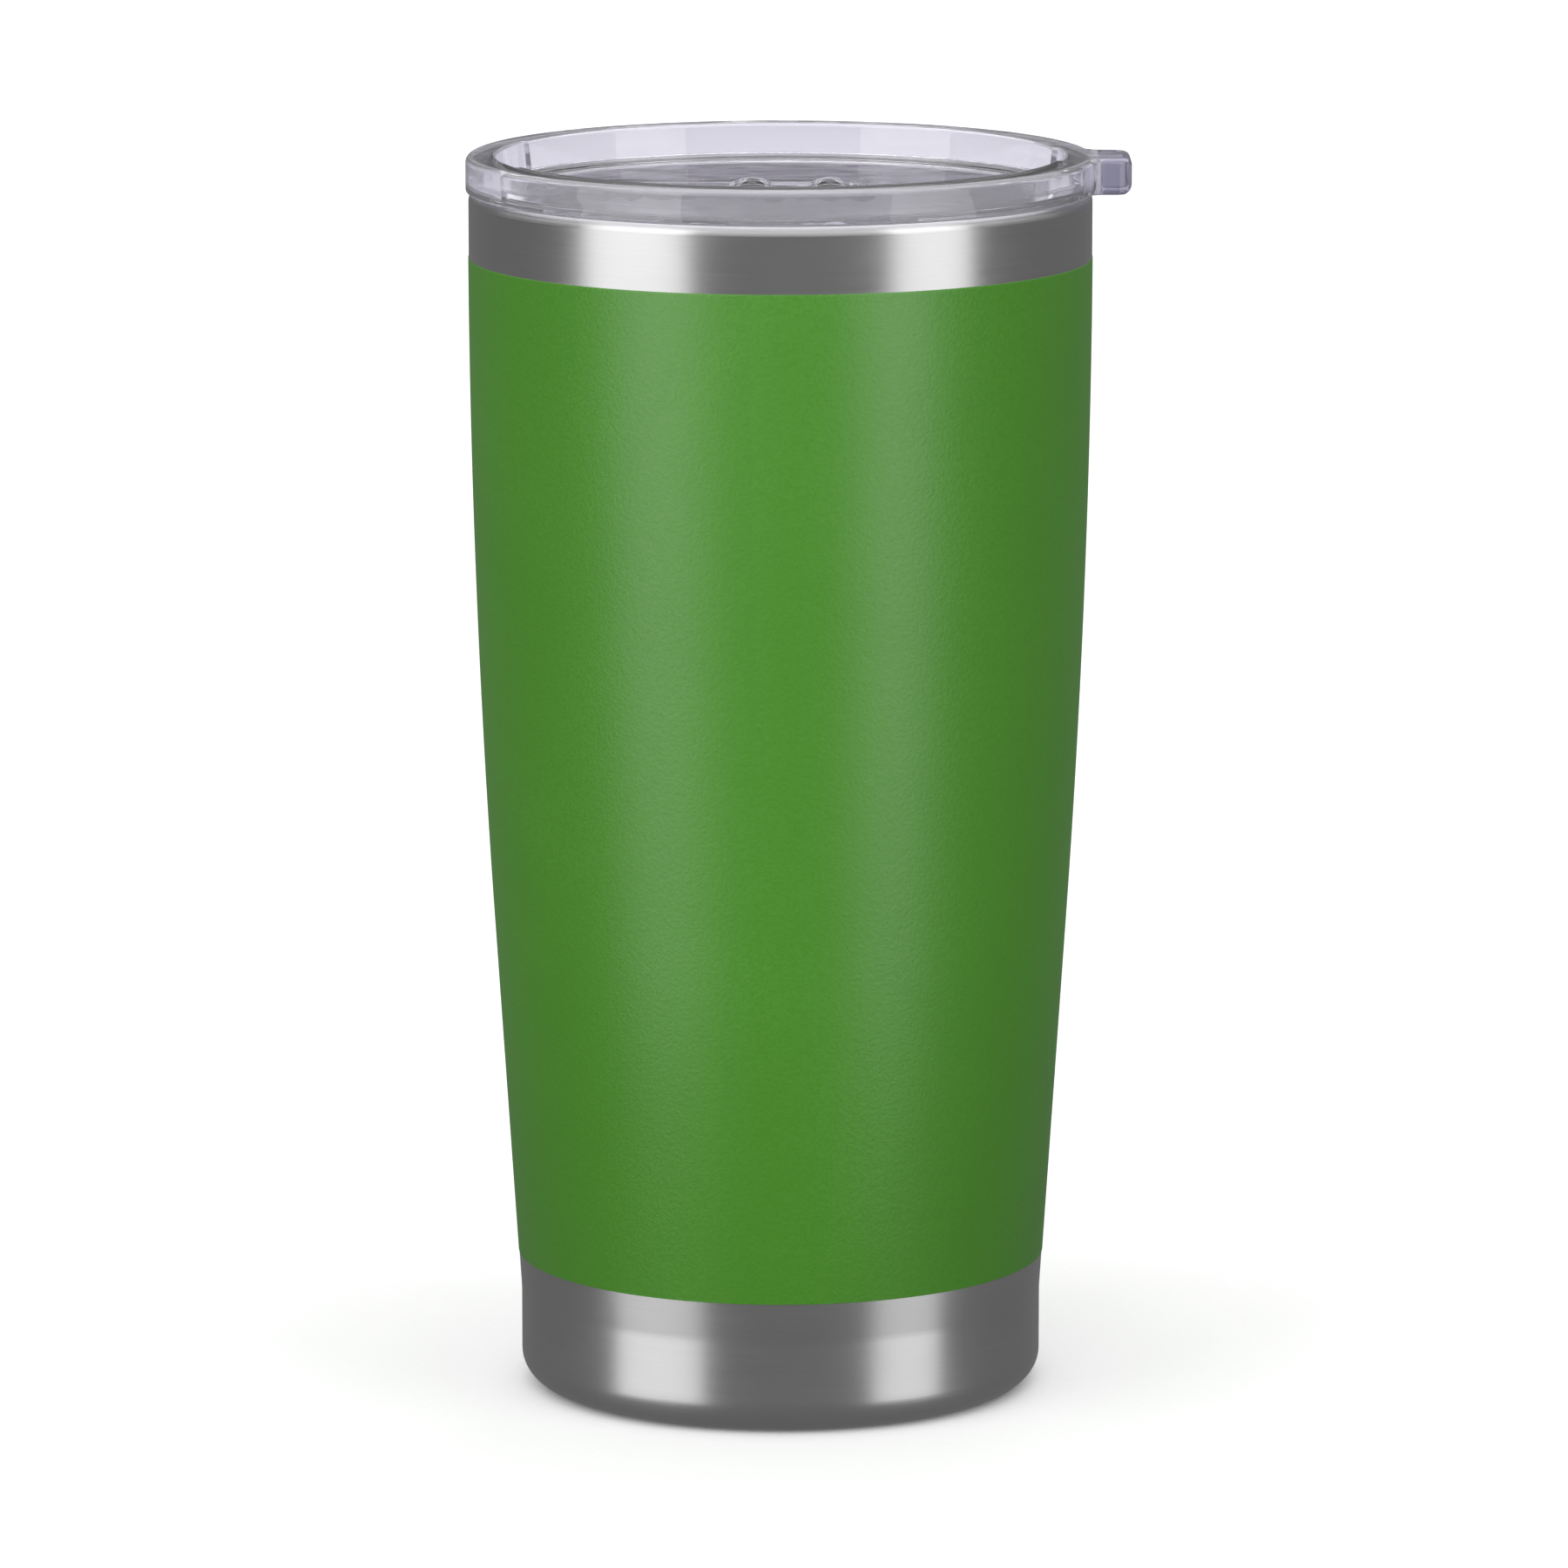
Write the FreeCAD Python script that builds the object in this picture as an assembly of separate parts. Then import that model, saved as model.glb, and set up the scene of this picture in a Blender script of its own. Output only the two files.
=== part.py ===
import FreeCAD, Part
import math
import os

# Insulated steel tumbler with a clear press-in lid.
# Millimetres, +Z up. The origin is on the cup's axis, in the plane it stands on.
# The sip slot of the lid is on the -X side and its pull tab on the +X side.

# ---- the cup's outer shell: upright at the foot, a straight taper, a long bend, upright at the mouth ----
cup_height = 171.3
mouth_radius = 44.0
foot_radius = 37.15
shell_wall = 0.5
foot_top_z = 13.4
foot_joint_z = 5.6
shell_bend_below_mouth = 53.3
shell_bend_reach = 50.0

# ---- powder coat on the shell ----
coat_thickness = 0.08
bare_foot_height = 19.0
bare_mouth_height = 9.2

# ---- liner, the inner cup ----
liner_wall_thickness = 0.4
lip_width = 2.6
lip_radius = 1.2
liner_foot_radius = 29.7
liner_bend_below_mouth = 31.3
liner_bend_reach = 20.0
liner_floor_z = 20.0
liner_corner_radius = 8.0
liner_joint_above_floor = 9.0

# ---- pressed base cover that the cup stands on ----
base_wall = 0.5
base_corner_radius = 4.5
base_ring_inner_radius = 26.0
base_recess_height = 1.2
base_recess_slope = 1.5
base_press_radius = 1.0

# ---- vacuum cap, welded inside the shell above the base cover ----
cap_wall = 0.6
cap_top_z = 12.0
cap_flange_height = 4.0
cap_corner_radius = 1.6
cap_weld_gap = 0.03
dimple_radius = 5.0
dimple_height = 1.6
dimple_slope = 0.8
dimple_press_radius = 0.6
evacuation_hole_radius = 0.6

# ---- sealing pellet, getter and foil: closed inside the wall ----
pellet_radius = 3.4
pellet_height = 1.1
pellet_round = 0.8
pellet_hole_gap = 0.05
getter_offset = 19.0
getter_pan_radius = 5.0
getter_pan_height = 2.0
getter_pan_wall = 0.3
getter_fill_gap = 0.1
getter_fill_height = 1.4
foil_thickness = 0.06
foil_gap = 0.05
foil_above_joint = 5.0
foil_below_mouth = 21.3

# ---- lid body ----
seat_gap = 0.1
flange_overhang = 0.4
flange_height = 5.1
flange_top_round = 1.0
flange_bottom_round = 0.4
rim_width = 5.1
rim_inner_round = 0.5
recess_depth = 4.9
recess_draft = 0.6
recess_fillet = 1.0
deck_thickness = 2.0
plug_depth = 8.4
plug_gap = 0.45
plug_wall = 2.4
plug_end_round = 0.6
groove_height = 3.8
groove_depth = 1.2
groove_above_end = 1.6

# ---- pull tab on the lid's flange ----
tab_reach = 5.0
tab_width = 13.0
tab_corner_radius = 2.6
tab_blend_radius = 2.0
tab_toe_round = 1.5

# ---- shallow pockets in the recess wall, at the sip slot and behind the tab ----
pocket_depth = 0.8
sip_pocket_half_angle = 24.0
tab_pocket_half_angle = 11.5

# ---- channel for the slider, sip slot, guide slot and vent ----
channel_depth = 1.7
channel_width = 22.0
channel_floor = 1.6
channel_side = 1.8
channel_wall_gap = 0.4
channel_corner_radius = 3.0
sip_slot_width = 5.0
sip_slot_half_angle = 10.5
sip_slot_cover = 0.7
vent_radius = 1.0
vent_inset = 5.7

# ---- slider, shown open ----
slider_travel = 10.0
slider_length = 40.0
slider_gap = 0.25
slider_lift = 0.1
slider_sink = 0.1
slider_edge_round = 0.3
grip_inset = 10.45
grip_hump_pitch = 11.6
grip_hump_length = 6.4
grip_hump_height = 0.95
grip_saddle_height = 0.25
grip_width = 13.0
grip_end_round = 0.3

# ---- the slider's two snap legs ----
leg_length = 6.0
leg_thickness = 1.2
leg_split = 1.4
leg_slot_gap = 0.2
guide_corner_radius = 0.4
hook_reach = 1.0
hook_gap = 0.2
hook_height = 1.3

# ---- gasket ring in the lid's groove ----
gasket_turn_gap = 0.06
gasket_side_gap = 0.1
gasket_band = 0.75
gasket_wipe_gap = 0.06
gasket_ribs = 2
gasket_rib_root = 0.9
gasket_rib_tip = 0.4
gasket_rib_round = 0.15

FULL_TURN = 360.0
PICK = 0.05  # how far from a face an edge may lie and still be picked as its edge
UP = FreeCAD.Vector(0, 0, 1)
CENTRE = FreeCAD.Vector(0, 0, 0)


def upright(x, y):
    """A point of a section in the XZ plane: radius or x, then height."""
    return FreeCAD.Vector(x, 0, y)


def level(height):
    """Places the points of a plan outline at one height."""
    return lambda x, y: FreeCAD.Vector(x, y, height)


def unit(start, end):
    """Direction from one flat point to another, of length 1."""
    length = math.hypot(end[0] - start[0], end[1] - start[1])
    return ((end[0] - start[0]) / length, (end[1] - start[1]) / length)


def closed_face(corners, place):
    """Face inside corners given as (x, y) or (x, y, rounding radius)."""
    edges = []
    ends = []
    count = len(corners)
    for index, corner in enumerate(corners):
        x, y = corner[:2]
        radius = corner[2] if len(corner) > 2 else 0.0
        back = unit(corner, corners[index - 1])
        ahead = unit(corner, corners[(index + 1) % count])
        if radius == 0.0:
            ends.append((place(x, y), place(x, y)))
            continue
        half_angle = math.acos(back[0] * ahead[0] + back[1] * ahead[1]) / 2
        setback = radius / math.tan(half_angle)
        middle_x = back[0] + ahead[0]
        middle_y = back[1] + ahead[1]
        middle_length = math.hypot(middle_x, middle_y)
        reach = (radius / math.sin(half_angle) - radius) / middle_length
        first = place(x + back[0] * setback, y + back[1] * setback)
        last = place(x + ahead[0] * setback, y + ahead[1] * setback)
        middle = place(x + middle_x * reach, y + middle_y * reach)
        edges.append(Part.Arc(first, middle, last).toShape())
        ends.append((first, last))
    for index in range(count):
        start = ends[index - 1][1]
        end = ends[index][0]
        if start.distanceToPoint(end) > 1e-6:
            edges.append(Part.LineSegment(start, end).toShape())
    return Part.Face(Part.Wire(Part.__sortEdges__(edges)))


def turned(face, angle=FULL_TURN):
    """Solid made by turning a section about the Z axis."""
    return face.revolve(CENTRE, UP, angle)


def moved(path, distance):
    """The corners of a path moved to its left, with their roundings kept parallel."""
    result = []
    last = len(path) - 1
    for index, corner in enumerate(path):
        radius = corner[2] if len(corner) > 2 else 0.0
        into = unit(path[max(index - 1, 0)], path[max(index, 1)])
        out = unit(path[min(index, last - 1)], path[min(index + 1, last)])
        turn = into[0] * out[1] - into[1] * out[0]
        share = distance / (1 + into[0] * out[0] + into[1] * out[1])
        x = corner[0] - (into[1] + out[1]) * share
        y = corner[1] + (into[0] + out[0]) * share
        if radius > 0.0:
            radius += -distance if turn > 0 else distance
        result.append((x, y, radius))
    return result


def sheet(path, wall):
    """Solid of turned sheet metal, from the path to the same path moved to its left by wall."""
    return turned(closed_face(path + moved(path, wall)[::-1], upright))


def between(shape, bottom, top):
    """The part of a shape between two heights."""
    slab = Part.makeCylinder(2 * mouth_radius, top - bottom, FreeCAD.Vector(0, 0, bottom))
    return shape.common(slab).Solids[0]


def bend_radius(foot, foot_z, mouth, bend_z, reach):
    """Radius of the long bend that starts and ends at reach from where taper and upright meet."""
    lean = math.atan2(abs(mouth - foot), bend_z - foot_z)
    return reach / math.tan(lean / 2)


lip_base_z = cup_height - lip_radius
shell_bend_z = cup_height - shell_bend_below_mouth
shell_bend_radius = bend_radius(
    foot_radius, foot_top_z, mouth_radius, shell_bend_z, shell_bend_reach
)
shell_path = [
    (foot_radius, foot_joint_z),
    (foot_radius, foot_top_z),
    (mouth_radius, shell_bend_z, shell_bend_radius),
    (mouth_radius, lip_base_z),
]

liner_mouth_bore = mouth_radius - lip_width
liner_radius = liner_mouth_bore + liner_wall_thickness
liner_under_z = liner_floor_z - liner_wall_thickness
liner_joint_z = liner_floor_z + liner_joint_above_floor
liner_bend_z = cup_height - liner_bend_below_mouth
liner_bend_radius = bend_radius(
    liner_foot_radius, liner_under_z, liner_radius, liner_bend_z, liner_bend_reach
)
liner_path = [
    (0, liner_under_z),
    (liner_foot_radius, liner_under_z, liner_corner_radius + liner_wall_thickness),
    (liner_radius, liner_bend_z, liner_bend_radius),
    (liner_radius, cup_height - liner_wall_thickness, lip_radius - liner_wall_thickness),
    (
        mouth_radius - liner_wall_thickness,
        cup_height - liner_wall_thickness,
        lip_radius - liner_wall_thickness,
    ),
    (mouth_radius - liner_wall_thickness, lip_base_z),
]


def outer_shell():
    """Drawn steel tube, open at both ends, welded to the liner's lip and to the base cover."""
    return sheet(shell_path, shell_wall)


def powder_coat():
    """Sprayed and baked skin between the two bare steel bands."""
    skin = sheet(shell_path[::-1], coat_thickness)
    return between(skin, bare_foot_height, cup_height - bare_mouth_height)


def liner_wall():
    """Drawn steel tube whose mouth is rolled outward into the drinking lip."""
    return between(sheet(liner_path, liner_wall_thickness), liner_joint_z, cup_height)


def liner_bottom():
    """Pressed dish that closes the liner, welded to its wall."""
    return between(sheet(liner_path, liner_wall_thickness), liner_under_z, liner_joint_z)


def base_cover():
    """Pressed dish with a round corner and a raised middle, so that it stands on a ring."""
    path = [
        (0, base_recess_height),
        (base_ring_inner_radius - base_recess_slope, base_recess_height, base_press_radius),
        (base_ring_inner_radius, 0, base_press_radius),
        (foot_radius, 0, base_corner_radius),
        (foot_radius, foot_joint_z),
    ]
    return sheet(path, base_wall)


cap_radius = foot_radius - shell_wall - cap_weld_gap


def vacuum_cap():
    """Pressed disc with a downturned flange and a dimple that holds the sealing pellet."""
    path = [
        (cap_radius, cap_top_z - cap_flange_height),
        (cap_radius, cap_top_z, cap_corner_radius),
        (dimple_radius + dimple_slope, cap_top_z, dimple_press_radius),
        (dimple_radius, cap_top_z + dimple_height, dimple_press_radius + cap_wall),
        (evacuation_hole_radius, cap_top_z + dimple_height),
    ]
    return sheet(path, cap_wall)


def seal_pellet():
    """Melted solder pellet that plugs the evacuation hole from the dimple."""
    ceiling = cap_top_z + dimple_height - cap_wall
    stem = evacuation_hole_radius - pellet_hole_gap
    corners = [
        (0, ceiling - pellet_height),
        (pellet_radius, ceiling - pellet_height, pellet_round),
        (pellet_radius, ceiling),
        (stem, ceiling),
        (stem, ceiling + cap_wall),
        (0, ceiling + cap_wall),
    ]
    return turned(closed_face(corners, upright))


def getter_pan():
    """Small pan spot-welded on top of the vacuum cap."""
    path = [
        (0, cap_top_z),
        (getter_pan_radius, cap_top_z, getter_pan_wall * 2),
        (getter_pan_radius, cap_top_z + getter_pan_height),
    ]
    pan = sheet(path, getter_pan_wall)
    pan.translate(FreeCAD.Vector(getter_offset, 0, 0))
    return pan


def getter_pill():
    """Pressed gas-absorbing powder in the pan."""
    radius = getter_pan_radius - getter_pan_wall - getter_fill_gap
    floor = cap_top_z + getter_pan_wall
    corners = [
        (0, floor),
        (radius, floor, getter_pan_wall),
        (radius, floor + getter_fill_height, getter_pan_wall),
        (0, floor + getter_fill_height),
    ]
    pill = turned(closed_face(corners, upright))
    pill.translate(FreeCAD.Vector(getter_offset, 0, 0))
    return pill


def heat_foil():
    """Copper foil wrapped round the liner inside the vacuum."""
    liner_outside = [
        (liner_radius, cup_height),
        (liner_radius, liner_bend_z, liner_bend_radius),
        (liner_foot_radius, liner_under_z),
    ]
    foil = sheet(moved(liner_outside, foil_gap), foil_thickness)
    return between(foil, liner_joint_z + foil_above_joint, cup_height - foil_below_mouth)


# ---- heights and radii of the lid, from the cup's mouth ----
flange_z = cup_height + seat_gap
flange_radius = mouth_radius + flange_overhang
lid_top_z = flange_z + flange_height
deck_z = lid_top_z - recess_depth
deck_under_z = deck_z - deck_thickness
channel_z = deck_z - channel_depth
channel_under_z = channel_z - channel_floor
rim_radius = flange_radius - rim_width
recess_radius = rim_radius - recess_draft
plug_radius = liner_mouth_bore - plug_gap
plug_bore = plug_radius - plug_wall
plug_end_z = flange_z - plug_depth
groove_bottom_z = plug_end_z + groove_above_end
groove_radius = plug_radius - groove_depth
channel_end_radius = recess_radius - channel_wall_gap
slider_end_radius = channel_end_radius - slider_gap
sip_slot_radius = slider_end_radius - sip_slot_cover - sip_slot_width / 2
slider_low_x = slider_travel - slider_end_radius
slider_high_x = slider_low_x + slider_length
leg_x = (slider_low_x + slider_high_x) / 2
grip_centre = slider_high_x - grip_inset


def flange_with_tab():
    """Thick rim of the lid and its pull tab, from one plan outline."""
    half = tab_width / 2
    tip_x = flange_radius + tab_reach
    blend_y = half + tab_blend_radius
    blend_x = math.sqrt((flange_radius + tab_blend_radius) ** 2 - blend_y**2)
    meet = flange_radius / (flange_radius + tab_blend_radius)
    meet_angle = math.atan2(blend_y, blend_x)
    blend_mid = (3 * math.pi / 2 + math.pi + meet_angle) / 2
    corner_mid = tab_corner_radius * math.sqrt(0.5)
    place = level(flange_z)
    edges = [
        Part.Arc(
            place(blend_x * meet, blend_y * meet),
            place(-flange_radius, 0),
            place(blend_x * meet, -blend_y * meet),
        ).toShape(),
        Part.LineSegment(
            place(tip_x, half - tab_corner_radius), place(tip_x, tab_corner_radius - half)
        ).toShape(),
    ]
    for side in (-1, 1):
        corner_x = tip_x - tab_corner_radius
        corner_y = half - tab_corner_radius
        blend = (
            place(blend_x * meet, side * blend_y * meet),
            place(
                blend_x + tab_blend_radius * math.cos(blend_mid),
                side * (blend_y + tab_blend_radius * math.sin(blend_mid)),
            ),
            place(blend_x, side * half),
        )
        corner = (
            place(corner_x, side * half),
            place(corner_x + corner_mid, side * (corner_y + corner_mid)),
            place(tip_x, side * corner_y),
        )
        edges.append(Part.Arc(*blend).toShape())
        edges.append(Part.LineSegment(blend[2], corner[0]).toShape())
        edges.append(Part.Arc(*corner).toShape())
    outline = Part.Face(Part.Wire(Part.__sortEdges__(edges)))
    rim = outline.extrude(UP * flange_height)
    top_edges = [e for e in rim.Edges if e.BoundBox.ZMin > lid_top_z - PICK]
    rim = rim.makeFillet(flange_top_round, top_edges)
    bottom_edges = [e for e in rim.Edges if e.BoundBox.ZMax < flange_z + PICK]
    rim = rim.makeFillet(flange_bottom_round, bottom_edges)
    # the lower edge of the tab's end is rounder than the rest
    toe = closed_face(
        [
            (tip_x + tab_reach, flange_z - tab_reach),
            (tip_x + tab_reach, lid_top_z),
            (tip_x, lid_top_z),
            (tip_x, flange_z, tab_toe_round),
            (flange_radius, flange_z),
            (flange_radius, flange_z - tab_reach),
        ],
        upright,
    )
    toe.translate(FreeCAD.Vector(0, -tab_width, 0))
    return rim.cut(toe.extrude(FreeCAD.Vector(0, 2 * tab_width, 0)))


def wall_pocket(half_angle, centre_angle):
    """Cutter for a shallow pocket in the recess wall, square-ended, with the wall's draft."""
    inner = recess_radius - recess_fillet
    corners = [
        (inner, deck_z),
        (recess_radius + pocket_depth, deck_z, recess_fillet),
        (rim_radius + pocket_depth, lid_top_z),
        (rim_radius + pocket_depth, lid_top_z + flange_height),
        (inner, lid_top_z + flange_height),
    ]
    cutter = turned(closed_face(corners, upright), 2 * half_angle)
    cutter.rotate(CENTRE, UP, centre_angle - half_angle)
    return cutter


def channel_plan(side, end_radius, bottom, top):
    """Block with the slider channel's plan, widened by side, and a curved -X end."""
    half = channel_width / 2 + side
    high_x = slider_high_x + slider_gap + side
    corners = [
        (-flange_radius, -half),
        (high_x, -half, channel_corner_radius + side),
        (high_x, half, channel_corner_radius + side),
        (-flange_radius, half),
    ]
    block = closed_face(corners, level(bottom)).extrude(UP * (top - bottom))
    bound = Part.makeCylinder(end_radius, top - bottom, FreeCAD.Vector(0, 0, bottom))
    return block.common(bound)


def sip_slot():
    """Cutter for the kidney-shaped drinking slot, concentric with the lid."""
    half_width = sip_slot_width / 2
    drop = deck_z - channel_under_z
    low = channel_under_z - drop
    section = closed_face(
        [
            (sip_slot_radius - half_width, low),
            (sip_slot_radius + half_width, low),
            (sip_slot_radius + half_width, deck_z),
            (sip_slot_radius - half_width, deck_z),
        ],
        upright,
    )
    cutter = turned(section, 2 * sip_slot_half_angle)
    cutter.rotate(CENTRE, UP, 180 - sip_slot_half_angle)
    for side in (-1, 1):
        angle = math.radians(180 + side * sip_slot_half_angle)
        centre = FreeCAD.Vector(
            sip_slot_radius * math.cos(angle), sip_slot_radius * math.sin(angle), low
        )
        cutter = cutter.fuse(Part.makeCylinder(half_width, deck_z - low, centre))
    return cutter


def lid_body():
    """One clear moulding: rim and tab, sunken deck, channel and the plug that enters the cup."""
    plug = [
        (0, deck_z),
        (plug_radius, deck_z),
        (plug_radius, groove_bottom_z + groove_height),
        (groove_radius, groove_bottom_z + groove_height),
        (groove_radius, groove_bottom_z),
        (plug_radius, groove_bottom_z),
        (plug_radius, plug_end_z, plug_end_round),
        (plug_bore, plug_end_z, plug_end_round),
        (plug_bore, deck_under_z, recess_fillet),
        (0, deck_under_z),
    ]
    body = flange_with_tab().fuse(turned(closed_face(plug, upright)))
    # the recess and the cavity under the flange's middle
    recess = [
        (0, deck_z),
        (recess_radius, deck_z, recess_fillet),
        (rim_radius, lid_top_z),
        (0, lid_top_z),
    ]
    under = [
        (0, plug_end_z),
        (plug_bore, plug_end_z),
        (plug_bore, deck_under_z, recess_fillet),
        (0, deck_under_z),
    ]
    body = body.cut(turned(closed_face(recess, upright)))
    body = body.cut(turned(closed_face(under, upright)))
    rim_edges = [
        e
        for e in body.Edges
        if e.BoundBox.ZMin > lid_top_z - PICK and e.BoundBox.XMax < rim_radius + PICK
    ]
    body = body.makeFillet(rim_inner_round, rim_edges)
    # the channel's underside stands below the deck
    pod_radius = (plug_bore + groove_radius) / 2
    body = body.fuse(channel_plan(channel_side, pod_radius, channel_under_z, deck_under_z))
    body = body.cut(wall_pocket(sip_pocket_half_angle, 180))
    body = body.cut(wall_pocket(tab_pocket_half_angle, 0))
    body = body.cut(channel_plan(0, channel_end_radius, channel_z, lid_top_z))
    body = body.cut(sip_slot())
    guide_half = leg_split / 2 + leg_thickness + leg_slot_gap
    guide_low = leg_x - slider_travel - leg_length / 2 - leg_slot_gap
    guide_high = leg_x + leg_length / 2 + leg_slot_gap
    guide = [
        (guide_low, -guide_half, guide_corner_radius),
        (guide_high, -guide_half, guide_corner_radius),
        (guide_high, guide_half, guide_corner_radius),
        (guide_low, guide_half, guide_corner_radius),
    ]
    guide_floor = channel_under_z - channel_floor
    guide_drop = UP * (channel_z + channel_floor - guide_floor)
    body = body.cut(closed_face(guide, level(guide_floor)).extrude(guide_drop))
    vent_foot = FreeCAD.Vector(recess_radius - vent_inset, 0, deck_under_z - deck_thickness)
    body = body.cut(Part.makeCylinder(vent_radius, 3 * deck_thickness, vent_foot))
    return body.removeSplitter().Solids[0]


def slider_plate():
    """Flat plate of the slider, round at the sip end so that it meets the recess wall."""
    bottom = channel_z + slider_lift
    top = deck_z - slider_sink
    half = channel_width / 2 - slider_gap
    corner = channel_corner_radius - slider_gap
    corners = [
        (-flange_radius, -half),
        (slider_high_x, -half, corner),
        (slider_high_x, half, corner),
        (-flange_radius, half),
    ]
    block = closed_face(corners, level(bottom)).extrude(UP * (top - bottom))
    end_centre = FreeCAD.Vector(slider_travel, 0, bottom)
    plate = block.common(Part.makeCylinder(slider_end_radius, top - bottom, end_centre))
    rim = [e for e in plate.Edges if e.BoundBox.ZMin > top - PICK]
    return plate.makeFillet(slider_edge_round, rim)


def slider_grip():
    """Thumb grip: two low humps with a saddle between them."""
    foot = deck_z - slider_sink - slider_edge_round
    shoulder = deck_z - slider_sink
    low = grip_centre - grip_hump_pitch / 2
    high = grip_centre + grip_hump_pitch / 2
    half = grip_hump_length / 2
    crest = deck_z + grip_hump_height
    saddle = deck_z + grip_saddle_height
    ends = [upright(low - half, shoulder), upright(low + half, saddle)]
    ends += [upright(high - half, saddle), upright(high + half, shoulder)]
    feet = [upright(low - half, foot), upright(high + half, foot)]
    edges = [
        Part.Arc(ends[0], upright(low, crest), ends[1]).toShape(),
        Part.LineSegment(ends[1], ends[2]).toShape(),
        Part.Arc(ends[2], upright(high, crest), ends[3]).toShape(),
        Part.LineSegment(ends[3], feet[1]).toShape(),
        Part.LineSegment(feet[1], feet[0]).toShape(),
        Part.LineSegment(feet[0], ends[0]).toShape(),
    ]
    section = Part.Face(Part.Wire(Part.__sortEdges__(edges)))
    section.translate(FreeCAD.Vector(0, -grip_width / 2, 0))
    grip = section.extrude(FreeCAD.Vector(0, grip_width, 0))
    ends_of_humps = [
        e for e in grip.Edges if e.BoundBox.YLength < PICK and e.BoundBox.ZMax > saddle
    ]
    return grip.makeFillet(grip_end_round, ends_of_humps)


def lid_slider():
    """Plate, thumb grip and two split legs that snap through the guide slot."""
    slider = slider_plate().fuse(slider_grip())
    root = channel_z + slider_lift + slider_sink
    inner = leg_split / 2
    outer = inner + leg_thickness
    hook_top = channel_under_z - hook_gap
    hook_bottom = hook_top - hook_height
    for side in (-1, 1):
        leg = [
            (side * inner, root),
            (side * inner, hook_bottom),
            (side * outer, hook_bottom),
            (side * (outer + hook_reach), hook_top - hook_height / 3),
            (side * (outer + hook_reach), hook_top),
            (side * outer, hook_top),
            (side * outer, root),
        ]
        face = closed_face(leg, lambda y, z: FreeCAD.Vector(leg_x - leg_length / 2, y, z))
        slider = slider.fuse(face.extrude(FreeCAD.Vector(leg_length, 0, 0)))
    return slider.removeSplitter().Solids[0]


def lid_gasket():
    """Silicone ring: a flat band in the groove with two wiping ribs against the liner."""
    bore = groove_radius + gasket_turn_gap
    band = bore + gasket_band
    tip = liner_mouth_bore - gasket_wipe_gap
    low = groove_bottom_z + gasket_side_gap
    high = groove_bottom_z + groove_height - gasket_side_gap
    corners = [(bore, high), (bore, low), (band, low)]
    spacing = (high - low) / gasket_ribs
    for number in range(gasket_ribs):
        middle = low + spacing * (number + 0.5)
        corners += [
            (band, middle - gasket_rib_root / 2),
            (tip, middle - gasket_rib_tip / 2, gasket_rib_round),
            (tip, middle + gasket_rib_tip / 2, gasket_rib_round),
            (band, middle + gasket_rib_root / 2),
        ]
    corners.append((band, high))
    return turned(closed_face(corners, upright))


nodes = {
    "outer_shell": outer_shell,
    "powder_coat": powder_coat,
    "liner_wall": liner_wall,
    "liner_bottom": liner_bottom,
    "base_cover": base_cover,
    "vacuum_cap": vacuum_cap,
    "seal_pellet": seal_pellet,
    "getter_pan": getter_pan,
    "getter_pill": getter_pill,
    "heat_foil": heat_foil,
    "lid_body": lid_body,
    "lid_slider": lid_slider,
    "lid_gasket": lid_gasket,
}

os.makedirs("parts", exist_ok=True)
for name, make in nodes.items():
    shape = make()
    print(name, shape.ShapeType, len(shape.Solids), shape.isValid(), round(shape.Volume))
    shape.exportStep("parts/" + name + ".step")
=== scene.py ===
import bmesh
import bpy
import math
from mathutils import Matrix, Vector


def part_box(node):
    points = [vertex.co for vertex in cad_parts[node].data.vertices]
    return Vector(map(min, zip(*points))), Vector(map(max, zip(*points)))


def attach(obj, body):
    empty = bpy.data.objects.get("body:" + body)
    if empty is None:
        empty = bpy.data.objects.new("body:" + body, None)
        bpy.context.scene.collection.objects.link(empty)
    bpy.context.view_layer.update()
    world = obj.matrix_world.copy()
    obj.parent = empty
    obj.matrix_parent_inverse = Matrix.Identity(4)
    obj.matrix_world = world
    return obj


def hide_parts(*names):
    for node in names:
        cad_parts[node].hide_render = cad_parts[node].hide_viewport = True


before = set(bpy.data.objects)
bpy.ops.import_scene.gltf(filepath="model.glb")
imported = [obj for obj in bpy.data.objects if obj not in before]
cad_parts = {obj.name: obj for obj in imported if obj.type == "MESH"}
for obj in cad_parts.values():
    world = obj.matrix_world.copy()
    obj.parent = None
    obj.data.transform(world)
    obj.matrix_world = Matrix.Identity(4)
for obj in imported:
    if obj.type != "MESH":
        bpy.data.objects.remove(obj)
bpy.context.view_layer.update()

# ---- Outer shell -------------------------------------------------------------------------------
# A tube drawn from 0.5 mm stainless sheet: upright at the foot, tapered, then bent upright again
# near the mouth. It is belt-polished while it turns, which leaves very fine lines round it, and it
# stays bare in a band at each end.
shell_low, shell_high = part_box("outer_shell")
base_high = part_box("base_cover")[1]
mouth_radius = shell_high.x
foot_radius = base_high.x
shell_wall = 0.0005
foot_top = 0.0134
shell_bend = 0.118
shell_bend_radius = 1.527
foot_bend_radius = 0.02
steel_grey = (0.60, 0.60, 0.60, 1.0)
turn_steps = 256
merge_reach = 0.000002


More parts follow.
